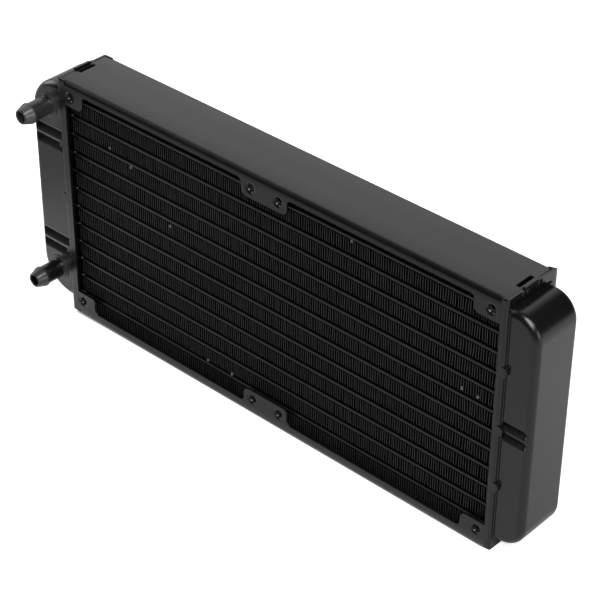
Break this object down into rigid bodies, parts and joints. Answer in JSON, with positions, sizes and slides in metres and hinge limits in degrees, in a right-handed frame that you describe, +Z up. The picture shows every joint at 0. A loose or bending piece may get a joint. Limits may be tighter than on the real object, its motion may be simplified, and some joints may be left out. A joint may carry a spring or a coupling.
{
  "type": "liquid cooling radiator",
  "caption": "Flat black brazed aluminium radiator with a tube-and-fin core, drawn end tanks, hose barbs on one tank and tapped fan screw holes on both faces.",
  "frame": {"origin": "middle of the underside of the bottom side plate, halfway along the fan pattern and halfway through the depth", "axes": "+X along the radiator towards the tank without barbs, -Y out of the face on the barbs' side, +Z up from the edge it stands on"},
  "size_m": [0.2729, 0.0419, 0.1198],
  "materials": {
    "side_plate": "satin black paint",
    "header_plate": "satin black paint",
    "tank": "satin black paint",
    "barb": "satin black paint",
    "tube": "satin black paint",
    "fin": "thin matt black paint",
    "baffle": "bare sheet"
  },
  "bodies": {
    "root": {"top_side_plate": "side_plate", "bottom_side_plate": "side_plate", "left_header_plate": "header_plate", "right_header_plate": "header_plate", "left_tank": "tank", "right_tank": "tank", "left_upper_baffle": "baffle", "left_lower_baffle": "baffle", "right_baffle": "baffle", "inlet_barb": "barb", "outlet_barb": "barb", "flat_tube_01": "tube", "flat_tube_02": "tube", "flat_tube_03": "tube", "flat_tube_04": "tube", "flat_tube_05": "tube", "flat_tube_06": "tube", "flat_tube_07": "tube", "flat_tube_08": "tube", "flat_tube_09": "tube", "flat_tube_10": "tube", "flat_tube_11": "tube", "flat_tube_12": "tube", "fin_strip_01": "fin", "fin_strip_02": "fin", "fin_strip_03": "fin", "fin_strip_04": "fin", "fin_strip_05": "fin", "fin_strip_06": "fin", "fin_strip_07": "fin", "fin_strip_08": "fin", "fin_strip_09": "fin", "fin_strip_10": "fin", "fin_strip_11": "fin", "fin_strip_12": "fin", "fin_strip_13": "fin"}
  },
  "joints": []
}
